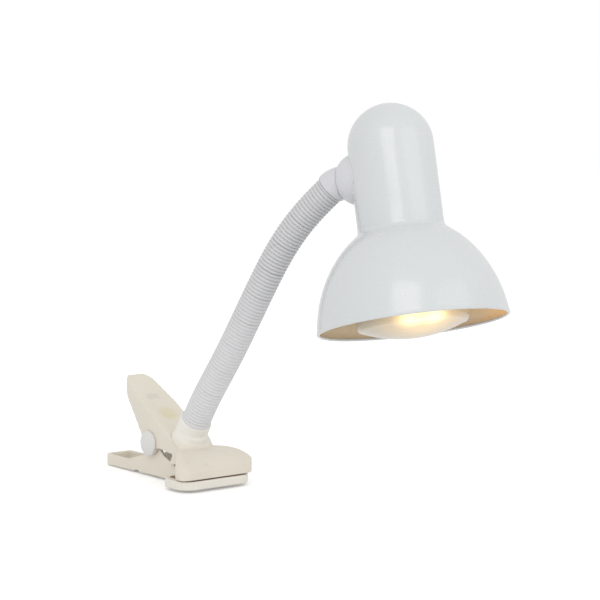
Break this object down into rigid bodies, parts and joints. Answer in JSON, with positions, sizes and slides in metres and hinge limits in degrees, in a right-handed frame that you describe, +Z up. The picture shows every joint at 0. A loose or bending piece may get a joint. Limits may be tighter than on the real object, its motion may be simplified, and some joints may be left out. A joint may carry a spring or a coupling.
{
  "type": "clip-on gooseneck desk lamp",
  "caption": "Clip-on lamp with a sprung two-lever clamp, a ribbed bendable neck, a swivel elbow and a domed bell shade round a reflector bulb.",
  "frame": {"origin": "centre of the upper jaw's grip face, with the clamp shut", "axes": "+X from the handles to the jaws, +Y to the left, +Z up out of the grip face"},
  "size_m": [0.3539, 0.1551, 0.2824],
  "materials": {
    "clamp_ivory": "moulded, satin",
    "pad_rubber": "matt",
    "steel": "plated",
    "brass": "bright",
    "cap_white": "satin",
    "bush_black": "matt",
    "moulding_white": "satin",
    "shade_white": "gloss enamel",
    "holder_black": "moulded",
    "wire_sleeve": "smooth",
    "insulator_glass": "glossy",
    "bulb_frosted": "frosted face",
    "filament_wire": "hot",
    "neck_grey": "ribbed",
    "conduit_steel": "wound strip"
  },
  "bodies": {
    "clamp_upper": {"upper_lever": "clamp_ivory", "upper_pad": "pad_rubber", "pivot_pin": "steel", "pivot_caps": "cap_white", "torsion_spring": "steel", "neck_ferrule": "steel", "neck_washer": "steel", "neck_nut": "brass", "cord_bush": "bush_black", "neck_cover_1": "neck_grey", "neck_conduit_1": "conduit_steel"},
    "clamp_lower": {"lower_lever": "clamp_ivory", "lower_pad": "pad_rubber"},
    "neck_2": {"neck_cover_2": "neck_grey", "neck_conduit_2": "conduit_steel"},
    "neck_3": {"neck_cover_3": "neck_grey", "neck_conduit_3": "conduit_steel"},
    "neck_4": {"neck_cover_4": "neck_grey", "neck_conduit_4": "conduit_steel"},
    "neck_5": {"neck_cover_5": "neck_grey", "neck_conduit_5": "conduit_steel"},
    "neck_6": {"neck_cover_6": "neck_grey", "neck_conduit_6": "conduit_steel"},
    "neck_7": {"neck_cover_7": "neck_grey", "neck_conduit_7": "conduit_steel"},
    "neck_8": {"neck_cover_8": "neck_grey", "neck_conduit_8": "conduit_steel"},
    "neck_9": {"neck_cover_9": "neck_grey", "neck_conduit_9": "conduit_steel"},
    "neck_10": {"neck_cover_10": "neck_grey", "neck_conduit_10": "conduit_steel", "elbow": "moulding_white", "nipple": "brass", "nipple_washer": "steel", "nipple_nut": "brass"},
    "head": {"swivel_dome": "moulding_white", "head_shell": "shade_white", "holder_bracket": "steel", "bracket_screws": "steel", "holder_cap": "holder_black", "terminal_screws": "brass", "holder_body": "holder_black", "contact_shell": "brass", "centre_contact": "brass", "lead_wires": "wire_sleeve", "bulb_base": "brass", "bulb_insulator": "insulator_glass", "bulb_contact": "brass", "bulb_glass": "bulb_frosted", "filament": "filament_wire", "filament_mount": "steel"}
  },
  "joints": [
    {"name": "clamp_open", "type": "hinge", "parent": "clamp_upper", "child": "clamp_lower", "pos_m": [-0.0542, 0, 0.0176], "axis": [0, 1, 0], "range_deg": [0, 31], "stiffness_Nm_per_rad": 1.1, "springref_deg": -25.78, "deforming": ["torsion_spring"]},
    {"name": "neck_pitch_1", "type": "hinge", "parent": "clamp_upper", "child": "neck_2", "pos_m": [-0.00098, 0, 0.05655], "axis": [-0.0872, 0.9962, 0], "range_deg": [-22, 22]},
    {"name": "neck_sway_2", "type": "hinge", "parent": "neck_2", "child": "neck_3", "pos_m": [0.01105, 0.00212, 0.074], "axis": [-0.8091, -0.1571, 0.5663], "range_deg": [-23.1, 20.9]},
    {"name": "neck_pitch_3", "type": "hinge", "parent": "neck_3", "child": "neck_4", "pos_m": [0.0227, 0.0046, 0.09165], "axis": [-0.2324, 0.9726, 0], "range_deg": [-19, 25]},
    {"name": "neck_sway_4", "type": "hinge", "parent": "neck_4", "child": "neck_5", "pos_m": [0.0333, 0.00744, 0.10991], "axis": [-0.8305, -0.2378, 0.5037], "range_deg": [-23, 21]},
    {"name": "neck_pitch_5", "type": "hinge", "parent": "neck_5", "child": "neck_6", "pos_m": [0.04333, 0.0105, 0.12845], "axis": [-0.309, 0.9511, 0], "range_deg": [-22, 22]},
    {"name": "neck_sway_6", "type": "hinge", "parent": "neck_6", "child": "neck_7", "pos_m": [0.05324, 0.01392, 0.14699], "axis": [-0.8132, -0.3042, 0.4961], "range_deg": [-23.5, 20.5]},
    {"name": "neck_pitch_7", "type": "hinge", "parent": "neck_7", "child": "neck_8", "pos_m": [0.06312, 0.01791, 0.16544], "axis": [-0.4169, 0.9089, 0], "range_deg": [-26, 18]},
    {"name": "neck_sway_8", "type": "hinge", "parent": "neck_8", "child": "neck_9", "pos_m": [0.07373, 0.02332, 0.18309], "axis": [-0.7, -0.3735, 0.6087], "range_deg": [-23.2, 20.8]},
    {"name": "neck_pitch_9", "type": "hinge", "parent": "neck_9", "child": "neck_10", "pos_m": [0.08595, 0.03009, 0.19917], "axis": [-0.4848, 0.8746, 0], "range_deg": [-28, 16]},
    {"name": "head_turn", "type": "hinge", "parent": "neck_10", "child": "head", "pos_m": [0.10673, 0.04161, 0.21792], "axis": [0.8568, 0.4749, 0.2011], "range_deg": [-150, 150]}
  ]
}
